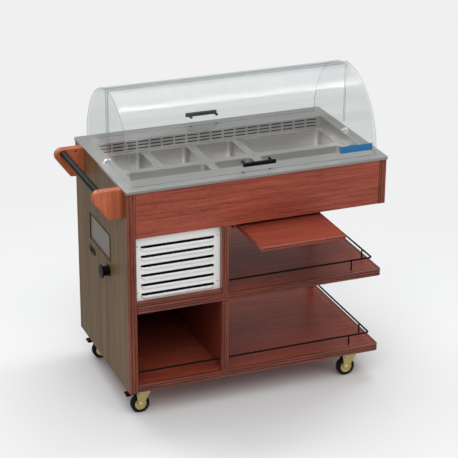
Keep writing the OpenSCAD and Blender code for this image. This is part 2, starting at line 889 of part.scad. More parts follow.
// The edges are rounded in two steps, apart from those on the cabinet's face
module handle_bracket(y) {
    e = bracket_edge;
    wall = e + 1;
    head = 24;
    foot = 13;
    spots = [[head - bracket_reach, -head, head], [-38, foot - bracket_h, foot], [wall, -wall, wall],
        [wall, wall - bracket_h, wall]];
    inner = y < mid_y ? 0 : bracket_t;
    color("#a5623c") place() translate([0, y + bracket_t, handle_z]) rotate([90, 0, 0]) difference() {
        hull() for (step = [[e, 0], [0.3 * e, 0.3 * e], [0, e]], c = spots)
            translate([c[0], c[1], step[1]]) cylinder(r = c[2] - step[0], h = bracket_t - 2 * step[1], $fn = 40);
        translate([0, -bracket_h - past, -past]) cube([2 * wall + past, bracket_h + 2 * past, bracket_t + 2 * past]);
        translate([bar_x, -bar_drop, y < mid_y ? -past : bracket_t - socket_h])
            cylinder(d = bar_dia + 2 * fit, h = socket_h + past);
        translate([-26, -12, inner - 6]) cylinder(d = bracket_hole, h = 12, $fn = 24);
        translate([-rim_over - seat, bracket_drop - rim_fold - seat, -past])
            cube([rim_over + seat + past, rim_fold + past, bracket_t + 2 * past]);
    }
}

module handle_brackets() {
    handle_bracket(bracket_front);
    handle_bracket(bracket_rear);
}

module push_bar() {
    y0 = bracket_front + bracket_t - socket_h;
    y1 = bracket_rear + socket_h;
    color(BLACK) place() rod("y", [bar_x, y0, bar_z], y1 - y0, bar_dia);
}

// Control side

module control_plate() {
    color("#8d8e8d") place() slab(plate_deep - plate_t, plate_deep, plate_at, plate_at + plate_w,
        plate_z, plate_z + plate_h);
}

module switch_bezel() {
    hw = bezel_w - 12;
    hh = bezel_h - 6;
    pw = rocker_w + 2 * rocker_clear;
    ph = rocker_h + 2 * rocker_clear;
    color(BLACK) place() translate([0, switch_at, switch_z]) difference() {
        union() {
            translate([0, -bezel_w / 2, -bezel_h / 2]) rotate([0, -90, 0])
                linear_extrude(bezel_t) rounded(bezel_h, bezel_w, bezel_h / 2 - 0.5);
            translate([0, -hw / 2, -hh / 2]) cube([side_t, hw, hh]);
        }
        translate([-bezel_t - past, -hw / 2 + 4, -ph / 2]) cube([bezel_t + past + rocker_x + 6, pw, ph]);
    }
}

module power_switch() {
    y = switch_at - (bezel_w - 12) / 2 + 4 + rocker_clear + rocker_w / 2;
    l = rocker_w / 2 - 0.5;
    face = rocker_x + bezel_t;
    rise = l * tan(rocker_tilt);
    color("#2b2b2b") place() translate([rocker_x, y, switch_z - rocker_h / 2]) rotate([0, 0, rocker_tilt])
        linear_extrude(rocker_h) {
            polygon([[2, -l], [2, l], [-face - rise, l], [-face, 0], [-face - rise, -l]]);
            circle(r = rocker_pin);
        }
}

module cord_bobbin() {
    rf = bobbin_dia / 2;
    rc = bobbin_core / 2;
    color(BLACK) place() translate([0, bobbin_at, switch_z]) rotate([0, -90, 0]) rotate_extrude()
        polygon([[0, 0], [rc + 3, 0], [rc + 3, 3], [rc, 6], [rc, bobbin_l - 6], [rf - 2, bobbin_l - 4],
            [rf, bobbin_l - 3], [rf, bobbin_l - 1], [rf - 1, bobbin_l], [0, bobbin_l]]);
}

// Grille with pressed louvres: each hood is half of a round-ended bulge, open along its top edge

module bulge(r) {
    deep = hood_r - hood_out;
    half = louvre_l / 2 - sqrt(hood_r * hood_r - deep * deep);
    translate([-half, deep, 0]) {
        rod("x", [0, 0, 0], 2 * half, 2 * r);
        for (x = [0, 2 * half]) translate([x, 0, 0]) sphere(r = r);
    }
}

module louvre_grille() {
    x0 = side_t;
    x1 = panel_x;
    t = grille_t;
    color(WHITE) place() difference() {
        union() {
            slab(x0, x1, grille_y, grille_y + t, mid_top, grille_top);
            for (i = [0 : louvres - 1]) louvre_at(i) intersection() {
                bulge(hood_r);
                slab(-louvre_l, louvre_l, -hood_out - past, t / 2, -hood_r, 0);
            }
        }
        for (i = [0 : louvres - 1]) louvre_at(i) intersection() {
            bulge(hood_r - t);
            slab(-louvre_l, louvre_l, -hood_out - past, 2 * t, -hood_r, slot_up);
        }
    }
}

module louvre_at(i) {
    translate([post_w + bay_w / 2, grille_y, grille_top - louvre_from - i * louvre_pitch]) children();
}

module grille_sill() {
    color(WOOD) place() slab(post_w, divider_x, sill_in, post_d, mid_top, mid_top + sill_h);
}

// Gallery rails

module rail_corner(x, y, z) {
    r = rail_bend + rail_dia / 2;
    translate([x - r, y + r, z]) rotate([0, 0, -90]) rotate_extrude(angle = 90)
        translate([r, 0]) circle(d = rail_dia);
}

// Rail over a shelf whose top is at z: front and end run, pins, and the run along the back
module rail(z, x0) {
    x1 = shelf_x1 - rail_in;
    y1 = body_d - rail_in;
    zr = z + rail_h;
    r = rail_bend + rail_dia / 2;
    rod("x", [x0, rail_in, zr], x1 - r - x0, rail_dia);
    rail_corner(x1, rail_in, zr);
    rod("y", [x1, rail_in + r, zr], rear_post_y - rail_in - r, rail_dia);
    rod("x", [panel_x1, y1, zr], rear_post_x - panel_x1, rail_dia);
    rod("z", [shelf_x1 - rail_pin_at, rail_in, z], rail_h, rail_pin_dia);
    rod("z", [x1, rail_pin_at, z], rail_h, rail_pin_dia);
}

module mid_rail() {
    color(BLACK) place() rail(mid_top, panel_x1);
}

module base_rail() {
    color(BLACK) place() {
        rail(base_top, panel_x1);
        rod("x", [side_t, rail_in, base_top + rail_h], panel_x - side_t, rail_dia);
    }
}

// Cooling unit

module unit_plate() {
    color("#6f7275") place() {
        slab(unit_x, unit_x + unit_w, unit_y, unit_y + unit_l, mid_top, mid_top + unit_t);
        for (x = [unit_x, unit_x + unit_w - unit_t])
            slab(x, x + unit_t, unit_y, unit_y + unit_l, mid_top + unit_t, mid_top + 14);
    }
}

module compressor() {
    r = comp_dia / 2;
    color(BLACK) place() translate([comp_x, comp_y, cond_z]) {
        translate([0, 0, foot_h]) rotate_extrude() difference() {
            polygon([[0, 0], [r - 12, 0], [r, 14], [r, comp_h * 0.45], [r - 3, comp_h * 0.48],
                [r - 3, comp_h - 34], [r - 14, comp_h - 12], [r - 40, comp_h - 2], [0, comp_h]]);
        }
        difference() {
            translate([-r, -r, foot_h - 3]) cube([2 * r, 2 * r, 3]);
            for (x = [-1, 1], y = [-1, 1]) translate([x * (r - 12), y * (r - 12), 0]) cylinder(d = 8, h = foot_h);
        }
        for (x = [-1, 1], y = [-1, 1]) translate([x * (r - 12), y * (r - 12), 0]) cylinder(d = 18, h = foot_h - 3);
    }
}

module condenser() {
    gap = (cond_w - 4) / (cond_fins + 1);
    rise = cond_h / cond_rows;
    cy = cond_y + cond_d / 2;
    color("#a9adb0") place() {
        for (x = [cond_x, cond_x + cond_w - 2]) slab(x, x + 2, cond_y, shroud_y, cond_z, cond_z + cond_h);
        for (i = [1 : cond_fins]) slab(cond_x + 2 + i * gap - 0.4, cond_x + 2 + i * gap + 0.4,
            cond_y + 2, shroud_y, cond_z, cond_z + cond_h);
        for (j = [0 : cond_rows - 1]) rod("x", [cond_x, cy, cond_z + (j + 0.5) * rise], cond_w, 9);
        difference() {
            union() {
                slab(cond_x, cond_x + cond_w, shroud_y, shroud_y + 2, cond_z, cond_z + cond_h);
                rod("y", [fan_x, shroud_y, fan_z], shroud_l, fan_dia + 12);
            }
            rod("y", [fan_x, shroud_y - past, fan_z], shroud_l + 2 * past, fan_dia + 8);
        }
    }
}

module fan_motor() {
    arm = fan_dia / 2 + 6;
    color("#3a3d40") place() translate([fan_x, motor_y, fan_z]) {
        rod("y", [0, 0, 0], motor_l, motor_dia);
        rod("y", [0, fan_y - motor_y + 1, 0], motor_y - fan_y, 6);
        difference() {
            for (a = [0, 90]) rotate([0, a + 45, 0])
                translate([-arm, shroud_y + shroud_l - motor_y, -7]) cube([2 * arm, 3, 14]);
            rod("y", [0, -10, 0], 20, motor_dia - 2);
        }
    }
}

module fan_blade() {
    hub = 40;
    color("#d8d9d6") place() translate([fan_x, fan_y, fan_z]) difference() {
        union() {
            rod("y", [0, 0, 0], fan_h, hub);
            intersection() {
                rod("y", [0, 0, 0], fan_h, fan_dia);
                for (i = [0 : fan_blades - 1]) rotate([0, i * 360 / fan_blades, 0])
                    translate([0, fan_h / 2, 0]) rotate([0, 0, 28]) translate([-22, -1, 0]) cube([44, 2, fan_dia]);
            }
        }
        rod("y", [0, -past, 0], fan_h + 2 * past, 6 + 2 * fit);
    }
}

// Casters, drawn with the swivel axis at x = 0, y = 0 and the wheel trailing to the left

module caster_plates() {
    color(BRASS) place() for (spot = caster_spots) translate([spot[0], spot[1], 0]) {
        translate([-caster_plate / 2, -caster_plate / 2, caster_h - plate_cast_t])
            linear_extrude(plate_cast_t) rounded(caster_plate, caster_plate, 6);
        translate([0, 0, caster_h - plate_cast_t - race_h]) cylinder(d1 = 34, d2 = 42, h = race_h, $fn = 64);
        translate([0, 0, fork_top - fork_head - 4.3]) cylinder(d = king_dia, h = caster_h - fork_top + fork_head);
        translate([0, 0, fork_top - fork_head - 4.3]) cylinder(d = king_dia + 6, h = 4);
    }
}

module fork(i) {
    spot = caster_spots[i];
    head = fork_top - fork_head;
    w = leg_y + fork_t;
    color(BRASS) place() translate([spot[0], spot[1], 0]) {
        difference() {
            union() {
                translate([0, 0, head]) cylinder(d = 42, h = fork_head);
                slab(-21, 18, -w, w, head, head + fork_t);
            }
            translate([0, 0, head - past]) cylinder(d = king_dia + 2 * fit, h = fork_head + 2 * past);
        }
        for (s = [0, 1]) mirror([0, s, 0]) translate([0, w, 0]) rotate([90, 0, 0]) linear_extrude(fork_t)
            difference() {
                union() {
                    polygon([[18, head + fork_t], [-21, head + fork_t], [-36, pedal_z + 5], [-36, pedal_z - 5],
                        [-trail - 10, wheel_r], [-trail + 10, wheel_r], [-trail + 14, wheel_r + 10]]);
                    translate([-trail, wheel_r]) circle(r = 10);
                }
                translate([pedal_x, pedal_z]) circle(d = 5 + 2 * fit);
            }
        rod("y", [-trail, -w - 2, wheel_r], 2 * w + 4, axle_dia);
        for (y = [-w - 3, w]) rod("y", [-trail, y, wheel_r], 3, 13);
    }
}

// Tyre and hub turn about the axle, which lies along Y
module wheel_at(i) {
    spot = caster_spots[i];
    color(i < 0 ? "black" : undef) place() translate([spot[0] - trail, spot[1], wheel_r]) rotate([90, 0, 0])
        rotate_extrude() children();
}

module tyre(i) {
    h = tyre_w / 2;
    color(BLACK) wheel_at(i) {
        translate([hub_dia / 2, -h]) square([wheel_r - hub_dia / 2 - 5, tyre_w]);
        translate([hub_dia / 2, -h + 5]) square([wheel_r - hub_dia / 2, tyre_w - 10]);
        for (s = [-1, 1]) translate([wheel_r - 5, s * (h - 5)]) circle(r = 5);
    }
}

module hub(i) {
    h = tyre_w / 2;
    r = hub_dia / 2;
    bore = axle_dia / 2 + fit;
    color(BRASS) wheel_at(i) polygon([[bore, -h - 1.5], [9, -h - 1.5], [10, -h + 3], [r - 4, -h + 3], [r - 3, -h + 0.5],
        [r, -h + 0.5], [r, h - 0.5], [r - 3, h - 0.5], [r - 4, h - 3], [10, h - 3], [9, h + 1.5], [bore, h + 1.5]]);
}

module brake_pedal(i) {
    spot = caster_spots[i];
    color(BLACK) place() translate([spot[0], spot[1], 0]) {
        rod("y", [pedal_x, -leg_y + seat, pedal_z], 2 * leg_y - 2 * seat, 9);
        rod("y", [pedal_x, -leg_y - fork_t, pedal_z], 2 * (leg_y + fork_t), 5);
        slab(-pedal_l + 8, pedal_x, -pedal_w / 2, pedal_w / 2, pedal_z - 1, pedal_z + 3);
        slab(-pedal_l + 8, -pedal_l + 20, -pedal_w / 2, pedal_w / 2, pedal_z - 4, pedal_z + 4);
        rod("y", [-pedal_l + 8, -pedal_w / 2, pedal_z - 4 + 4], pedal_w, 8);
    }
}

side_panel();
front_left_post();
divider_posts();
divider_panels();
rear_panel();
rear_right_post();
base_board();
base_moulding();
mid_board();
mid_moulding();
apron_front();
apron_right();
apron_back();
apron_corner_posts();
rim_top();
well_liner();
vent_strip();
insulation_tub();
evaporator_coil();
pan_frame();
pans_third();
pans_sixth();
pull_out_tray();
tray_runners();
dome_front_shell();
dome_rear_shell();
dome_handle_front();
dome_handle_rear();
dome_pivots();
dome_buffers();
handle_brackets();
push_bar();
control_plate();
switch_bezel();
power_switch();
cord_bobbin();
louvre_grille();
grille_sill();
mid_rail();
base_rail();
unit_plate();
compressor();
condenser();
fan_motor();
fan_blade();
caster_plates();
fork(0);  // fork_fl
fork(1);  // fork_fr
fork(2);  // fork_rl
fork(3);  // fork_rr
tyre(0);  // tyre_fl
tyre(1);  // tyre_fr
tyre(2);  // tyre_rl
tyre(3);  // tyre_rr
hub(0);  // hub_fl
hub(1);  // hub_fr
hub(2);  // hub_rl
hub(3);  // hub_rr
brake_pedal(0);  // brake_pedal_fl
brake_pedal(2);  // brake_pedal_rl
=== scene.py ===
import math

import bmesh
import bpy
from mathutils import Matrix, Vector

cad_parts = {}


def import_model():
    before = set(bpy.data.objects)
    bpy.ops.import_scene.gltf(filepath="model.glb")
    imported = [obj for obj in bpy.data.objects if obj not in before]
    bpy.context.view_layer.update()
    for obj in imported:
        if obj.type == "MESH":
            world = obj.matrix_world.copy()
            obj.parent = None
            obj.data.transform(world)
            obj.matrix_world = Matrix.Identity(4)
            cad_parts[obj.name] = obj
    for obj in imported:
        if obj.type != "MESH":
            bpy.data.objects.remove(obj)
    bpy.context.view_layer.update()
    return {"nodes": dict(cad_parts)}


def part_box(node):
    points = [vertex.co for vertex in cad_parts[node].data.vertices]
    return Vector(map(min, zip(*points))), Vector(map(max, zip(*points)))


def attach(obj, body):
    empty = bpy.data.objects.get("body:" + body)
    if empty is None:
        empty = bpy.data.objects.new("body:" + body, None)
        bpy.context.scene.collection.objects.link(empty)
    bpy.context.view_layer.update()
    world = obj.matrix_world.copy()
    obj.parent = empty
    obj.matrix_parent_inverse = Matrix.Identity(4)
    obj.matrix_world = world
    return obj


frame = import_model()

# Metres. ORIGIN is the foot of the cabinet's front-left corner, in the shared frame.
ORIGIN = Vector((-0.399, -0.1835, 0.0))
# Middle of the axis on which both shells of the dome turn, from ORIGIN
PIVOT = Vector((0.445, 0.270, 0.809))
# Outer radii of the front and the rear shell
DOME_R = 0.240
REAR_R = 0.234
# How far each shell reaches past the dome's middle
SEAM_LAP = 0.002

scene = bpy.context.scene
scene.view_settings.view_transform = "Standard"
scene.cycles.transparent_max_bounces = 32
scene.cycles.transmission_bounces = 20
scene.cycles.max_bounces = 20


def at(x, y, z):
    """A point given in millimetres from the cabinet's front-left foot, in the shared frame."""
    return Vector((x / 1000, y / 1000, z / 1000)) + ORIGIN


# Materials

def srgb(r, g, b):
    """Linear colour from values of 0 to 255."""
    def linear(c):
        c /= 255
        return c / 12.92 if c <= 0.04045 else ((c + 0.055) / 1.055) ** 2.4
    return (linear(r), linear(g), linear(b), 1.0)


def darker(colour, share):
    return tuple(c * share for c in colour[:3]) + (1,)


def along(axis, stretch):
    """Scale that draws a pattern out along one axis, or along none."""
    return tuple(stretch if name == axis else 1 for name in "xyz")


class Nodes:
    """A small helper round the node tree of a material or of the world."""

    def __init__(self, owner):
        owner.use_nodes = True
        self.tree = owner.node_tree

    def add(self, kind, inputs=None, **attributes):
        node = self.tree.nodes.new(kind)
        for key, value in attributes.items():
            setattr(node, key, value)
        for key, value in (inputs or {}).items():
            if isinstance(value, bpy.types.NodeSocket):
                self.link(value, node, key)
            else:
                node.inputs[key].default_value = value
        return node

    def link(self, socket, node, key):
        self.tree.links.new(socket, node.inputs[key])

    def math(self, operation, a, b):
        return self.add("ShaderNodeMath", {0: a, 1: b}, operation=operation).outputs[0]

    def mix(self, fac, a, b, blend="MIX"):
        """One colour over another. The sockets 0, 6 and 7 are those of the colour mode."""
        node = self.add("ShaderNodeMix", data_type="RGBA", blend_type=blend)
        for key, value in ((0, fac), (6, a), (7, b)):
            if isinstance(value, bpy.types.NodeSocket):
                self.link(value, node, key)
            else:
                node.inputs[key].default_value = value
        return node.outputs[2]

    def seen(self, light):
        """1 on rays by which the camera sees, straight or through a clear sheet."""
        return self.math("MAXIMUM", light.outputs["Is Camera Ray"], light.outputs["Is Transmission Ray"])


class Look(Nodes):
    """The node tree of a new material."""

    def __init__(self, name):
        self.material = bpy.data.materials.new(name)
        super().__init__(self.material)
        self.bsdf = self.tree.nodes["Principled BSDF"]
        self.output = self.tree.nodes["Material Output"]

    def set(self, **values):
        for key, value in values.items():
            self.bsdf.inputs[key.replace("_", " ")].default_value = value

    def place(self, scale=(1, 1, 1)):
        coords = self.add("ShaderNodeTexCoord")
        mapping = self.add("ShaderNodeMapping", {"Scale": scale, "Vector": coords.outputs["Object"]})
        return mapping.outputs["Vector"]

    def noise(self, vector, scale, detail, roughness, distortion=0.0):
        node = self.add("ShaderNodeTexNoise", {"Vector": vector, "Scale": scale, "Detail": detail,
                                               "Roughness": roughness, "Distortion": distortion})
        return node.outputs["Fac"]

    def ramp(self, fac, stops):
        """Colours that change with a pattern, from (position, colour) pairs."""
        node = self.add("ShaderNodeValToRGB", {"Fac": fac})
        elements = node.color_ramp.elements
        elements[0].position, elements[0].color = stops[0]
        elements[1].position, elements[1].color = stops[-1]
        for position, colour in stops[1:-1]:
            elements.new(position).color = colour
        return node.outputs["Color"]

    def rough(self, fac, low, high):
        """Roughness that goes from low to high with a pattern."""
        node = self.add("ShaderNodeMapRange", {"Value": fac, "To Min": low, "To Max": high})
        self.link(node.outputs["Result"], self.bsdf, "Roughness")

    def bump(self, fac, distance, strength, edge):
        """Relief in the surface, on edges that look rounded by a radius."""
        bevel = self.add("ShaderNodeBevel", {"Radius": edge}, samples=4)
        node = self.add("ShaderNodeBump", {"Height": fac, "Distance": distance, "Strength": strength,
                                           "Normal": bevel.outputs["Normal"]})
        self.link(node.outputs["Normal"], self.bsdf, "Normal")

    def blend(self, fac, a, b):
        """One shader over another."""
        return self.add("ShaderNodeMixShader", {0: fac, 1: a, 2: b}).outputs["Shader"]

    def surface(self, shader):
        self.link(shader, self.output, "Surface")


def wood(name, axis, light, middle, dark, gloss=0.32, coat=0.25):
    """Stained, lacquered wood: long streaks along the grain, dark pores and a soft drift of tone."""
    n = Look(name)
    across = n.place(along(axis, 0.035))
    figure = n.noise(across, scale=140, detail=6, roughness=0.66, distortion=0.5)
    fibre = n.noise(across, scale=420, detail=3, roughness=0.7)
    pores = n.noise(n.place(along(axis, 0.1)), scale=520, detail=2, roughness=0.5)
    cloud = n.noise(n.place(along(axis, 0.3)), scale=9, detail=3, roughness=0.5)
    tone = n.ramp(figure, [(0.3, dark), (0.5, middle), (0.7, light)])
    streak = n.ramp(fibre, [(0.36, (0.70, 0.66, 0.64, 1)), (0.6, (1.06, 1.05, 1.05, 1))])
    tone = n.mix(0.5, tone, streak, "MULTIPLY")
    drift = n.ramp(cloud, [(0.35, (0.84, 0.82, 0.81, 1)), (0.65, (1.07, 1.06, 1.05, 1))])
    tone = n.mix(0.6, tone, drift, "MULTIPLY")
    pit = n.ramp(pores, [(0.36, (0.52, 0.48, 0.46, 1)), (0.44, (1, 1, 1, 1))])
    tone = n.mix(0.55, tone, pit, "MULTIPLY")
    n.link(tone, n.bsdf, "Base Color")
    n.rough(fibre, gloss - 0.06, gloss + 0.1)
    n.bump(pores, distance=0.0001, strength=0.5, edge=0.0012)
    n.set(Specular_IOR_Level=0.28, Coat_Weight=coat, Coat_Roughness=0.14)
    return n.material


def metal(name, colour, rough_low, rough_high, axis=None, edge=0.0005, scratch=0.00002):
    """Metal with fine brush lines along an axis, or with a fine mottle where there is none."""
    n = Look(name)
    lines = n.noise(n.place(along(axis, 0.02)), scale=900 if axis else 60, detail=3, roughness=0.6)
    smudge = n.noise(n.place(), scale=9, detail=3, roughness=0.5)
    shade = n.ramp(smudge, [(0.3, darker(colour, 0.95)), (0.7, colour)])
    n.link(shade, n.bsdf, "Base Color")
    n.rough(lines, rough_low, rough_high)
    n.bump(lines, distance=scratch, strength=0.6, edge=edge)
    n.set(Metallic=1.0)
    return n.material


def coated(name, colour, rough, grain, depth=0.00004, coat=0.0, vary=0.92, shine=0.5):
    """Paint, plastic or rubber with a fine grain and a slight drift of tone."""
    n = Look(name)
    speck = n.noise(n.place(), scale=grain, detail=2, roughness=0.5)
    cloud = n.noise(n.place(), scale=12, detail=3, roughness=0.5)
    shade = n.ramp(cloud, [(0.3, darker(colour, vary)), (0.7, colour)])
    n.link(shade, n.bsdf, "Base Color")
    n.rough(cloud, rough - 0.04, rough + 0.06)
    n.bump(speck, distance=depth, strength=0.5, edge=0.0006)
    n.set(Coat_Weight=coat, Coat_Roughness=0.1, Specular_IOR_Level=shine)
    return n.material


def laminate_material():
    """Olive laminate with upright grain under a thin gloss."""
    n = Look("olive_laminate")
    upright = n.place(along("z", 0.03))
    figure = n.noise(upright, scale=34, detail=5, roughness=0.6, distortion=0.4)
    fibre = n.noise(upright, scale=260, detail=3, roughness=0.6)
    tone = n.ramp(figure, [(0.3, srgb(94, 72, 48)), (0.52, srgb(114, 90, 61)), (0.72, srgb(130, 106, 74))])
    streak = n.ramp(fibre, [(0.35, (0.82, 0.81, 0.8, 1)), (0.6, (1.04, 1.04, 1.04, 1))])
    n.link(n.mix(0.6, tone, streak, "MULTIPLY"), n.bsdf, "Base Color")
    n.rough(fibre, 0.32, 0.42)
    n.bump(fibre, distance=0.00002, strength=0.4, edge=0.0008)
    n.set(Specular_IOR_Level=0.14, Coat_Weight=0.08, Coat_Roughness=0.12)
    return n.material


def clear_material():
    """Acrylic sheet: clear, darker where it is seen edge-on, with a thin shine on its outer faces."""
    n = Look("clear_acrylic")
    marks = n.noise(n.place(along("z", 0.2)), scale=14, detail=4, roughness=0.6)
    n.rough(marks, 0.02, 0.06)
    n.set(Base_Color=srgb(244, 249, 247), Transmission_Weight=1.0, IOR=1.45)
    edge = n.add("ShaderNodeLayerWeight", {"Blend": 0.5})
    tint = n.ramp(edge.outputs["Facing"], [
        (0.0, (0.945, 0.955, 0.953, 1)), (0.72, (0.93, 0.942, 0.942, 1)),
        (0.93, (0.80, 0.83, 0.85, 1)), (1.0, (0.62, 0.66, 0.69, 1))])
    thin = n.add("ShaderNodeBsdfTransparent", {"Color": tint}).outputs["BSDF"]
    gloss = n.add("ShaderNodeBsdfGlossy", {"Color": (1, 1, 1, 1), "Roughness": 0.05}).outputs["BSDF"]
    fresnel = n.add("ShaderNodeFresnel", {"IOR": 1.55}).outputs["Fac"]
    front = n.math("SUBTRACT", 1.0, n.add("ShaderNodeNewGeometry").outputs["Backfacing"])
    shine = n.math("MULTIPLY", n.math("MULTIPLY", fresnel, front), 0.26)
    sheet = n.blend(shine, thin, gloss)
    # A trace of the refracting shader keeps its wiping marks
    body = n.blend(0.04, sheet, n.bsdf.outputs["BSDF"])
    # Light passes straight through, so the dome throws no dark shadow
    light = n.add("ShaderNodeLightPath")
    n.surface(n.blend(light.outputs["Is Shadow Ray"], body, thin))
    return n.material


def edge_material():
    """Sawn and polished edge of the acrylic. Its blue-grey is painted light: it stands in for the light that
    the edge bends and gathers.
    """
    n = Look("acrylic_edge")
    cloud = n.noise(n.place(), scale=30, detail=3, roughness=0.5)
    tone = n.ramp(cloud, [(0.3, srgb(138, 147, 156)), (0.7, srgb(176, 184, 190))])
    n.link(tone, n.bsdf, "Base Color")
    n.rough(cloud, 0.12, 0.25)
    thin = n.add("ShaderNodeBsdfTransparent", {"Color": (0.86, 0.89, 0.91, 1)})
    n.surface(n.blend(0.62, thin.outputs["BSDF"], n.bsdf.outputs["BSDF"]))
    return n.material


# Wood colours, each as its light, middle and dark tone. Some are darker copies of the mahogany, with painted
# shade in them.
RED = (srgb(168, 84, 60), srgb(149, 70, 51), srgb(119, 52, 39))
SHELF = (srgb(170, 84, 63), srgb(146, 68, 51), srgb(112, 48, 38))
EDGE = (srgb(148, 82, 60), srgb(120, 63, 47), srgb(82, 40, 31))
# Darker copy of the mahogany for the divider panels inside the bays: painted shade.
DEEP = (srgb(148, 68, 50), srgb(122, 53, 39), srgb(88, 36, 28))
# Darker than the apron's mahogany, to offset the light that falls on the tray's top: painted shade.
TRAY = (srgb(162, 76, 57), srgb(138, 62, 46), srgb(104, 45, 34))
# Darker copy of the posts' brown for the mouldings: painted shade.
MOULD = (srgb(138, 73, 53), srgb(110, 55, 41), srgb(72, 33, 26))
# Near black, for the rear panel at the back of the shaded bay: painted shade.
DARK = (srgb(56, 29, 24), srgb(42, 22, 19), srgb(28, 15, 13))
TAN = (srgb(196, 107, 69), srgb(174, 91, 56), srgb(146, 72, 43))

wood_x = wood("mahogany_along", "x", *RED)
shelf_x = wood("mahogany_shelf", "x", *SHELF, coat=0.05)
edge_x = wood("mahogany_moulding", "x", *MOULD, gloss=0.28, coat=0.35)
tray_x = wood("mahogany_board", "x", *TRAY, gloss=0.28, coat=0.3)
wood_y = wood("mahogany_deep", "y", *RED)
wood_z = wood("mahogany_upright", "z", *EDGE, gloss=0.28, coat=0.35)
panel_z = wood("mahogany_panel", "z", *DEEP)
dark_z = wood("dark_panel", "z", *DARK, gloss=0.45, coat=0.1)
tan_wood = wood("bracket_wood", "z", *TAN, gloss=0.38)
laminate = laminate_material()
acrylic = clear_material()
acrylic_edge = edge_material()
steel_x = metal("steel_brushed_along", srgb(205, 202, 200), 0.26, 0.36, "x", edge=0.001, scratch=0.00001)
# Paler than the rim's steel, to offset the dim light under the dome: painted light.
steel_pan = metal("steel_pan", srgb(214, 211, 209), 0.22, 0.4)
steel_dark = metal("steel_liner", srgb(196, 193, 191), 0.34, 0.5, "x")
chrome = metal("chrome_bright", srgb(225, 226, 228), 0.05, 0.12)
brass = metal("brass_plated", srgb(246, 224, 162), 0.2, 0.34)
copper = metal("copper_tube", srgb(196, 120, 80), 0.2, 0.35)
# Fins darker than bare aluminium, so that the grille's slots look dark: painted shade.
aluminium = metal("aluminium_fins", srgb(104, 106, 108), 0.4, 0.55)
black_rod = coated("black_enamel", srgb(7, 7, 7), rough=0.36, grain=350, shine=0.1)
black_moulded = coated("black_moulded", srgb(7, 7, 7), rough=0.3, grain=500, shine=0.12)
rubber = coated("tyre_rubber", srgb(18, 17, 17), rough=0.6, grain=240, depth=0.0001, shine=0.2)
white_enamel = coated("white_enamel", srgb(232, 233, 231), rough=0.3, grain=420, depth=0.00002,
                      coat=0.3, vary=0.97)
grey_enamel = coated("grey_enamel", srgb(131, 123, 117), rough=0.35, grain=300, depth=0.00003, vary=0.94)
foam = coated("insulation_tub", srgb(58, 56, 54), rough=0.7, grain=90, depth=0.0003)
pale_plastic = coated("pale_plastic", srgb(216, 216, 212), rough=0.45, grain=400)
compressor_black = coated("compressor_black", srgb(36, 36, 38), rough=0.42, grain=200, depth=0.00005)


def casters(name):
    """The nodes of which each caster has one."""
    return [name + "_" + corner for corner in ("fl", "fr", "rl", "rr")]


CAD_LOOKS = {
    wood_x: ["apron_front", "apron_back"],
    shelf_x: ["base_board", "mid_board"],
    edge_x: ["base_moulding", "mid_moulding", "grille_sill"],
    tray_x: ["pull_out_tray"],
    wood_y: ["apron_right", "tray_runners"],
    wood_z: ["front_left_post", "divider_posts", "rear_right_post", "apron_corner_posts"],
    panel_z: ["divider_panels"],
    dark_z: ["rear_panel"],
    tan_wood: ["handle_brackets"],
    laminate: ["side_panel"],
    acrylic: ["dome_front_shell", "dome_rear_shell"],
    steel_x: ["rim_top"],
    steel_dark: ["well_liner", "vent_strip", "pan_frame"],
    steel_pan: ["pans_third", "pans_sixth"],
    chrome: ["dome_pivots"],
    brass: ["caster_plates"] + casters("fork") + casters("hub"),
    rubber: ["dome_buffers"] + casters("tyre"),
    black_rod: ["push_bar", "mid_rail", "base_rail"],
    black_moulded: ["dome_handle_front", "dome_handle_rear", "switch_bezel", "power_switch", "cord_bobbin",
                    "brake_pedal_fl", "brake_pedal_rl"],
    white_enamel: ["louvre_grille"],
    grey_enamel: ["control_plate", "unit_plate"],
    foam: ["insulation_tub"],
    copper: ["evaporator_coil"],
    aluminium: ["condenser"],
    compressor_black: ["compressor", "fan_motor"],
    pale_plastic: ["fan_blade"],
}

for look, names in CAD_LOOKS.items():
    for name in names:
        obj = frame["nodes"][name]
        if not obj.material_slots:
            obj.data.materials.append(look)
        for slot in obj.material_slots:
            slot.material = look


# Stage: floor, world, camera and lamps

# What the camera sees behind the trolley
PAPER = srgb(240, 240, 240)


def floor():
    """Sheet that takes the shadows near the trolley and fades into the paper round it."""
    half = 40.0
    fade_from, fade_to = 0.8, 2.1
    mesh = bpy.data.meshes.new("floor")
    mesh.from_pydata([(-half, -half, 0), (half, -half, 0), (half, half, 0), (-half, half, 0)], [],
                     [(0, 1, 2, 3)])
    obj = bpy.data.objects.new("floor", mesh)
    scene.collection.objects.link(obj)
    n = Look("floor_paper")
    n.set(Base_Color=srgb(228, 229, 230), Roughness=0.9)
    light = n.add("ShaderNodeLightPath")
    coords = n.add("ShaderNodeTexCoord")
    reach = n.add("ShaderNodeVectorMath", {0: coords.outputs["Object"]}, operation="LENGTH")
    fade = n.add("ShaderNodeMapRange", {"Value": reach.outputs["Value"], "From Min": fade_from,
                                        "From Max": fade_to}, interpolation_type="SMOOTHSTEP")
    share = n.math("MULTIPLY", n.seen(light), fade.outputs["Result"])
    paper = n.add("ShaderNodeEmission", {"Color": PAPER})
    plain = n.blend(share, n.bsdf.outputs["BSDF"], paper.outputs["Emission"])
    # An even grey is what glossy pieces mirror of it
    mirrored = n.add("ShaderNodeEmission", {"Color": (0.34, 0.34, 0.34, 1)})
    n.surface(n.blend(light.outputs["Is Glossy Ray"], plain, mirrored.outputs["Emission"]))
    mesh.materials.append(n.material)


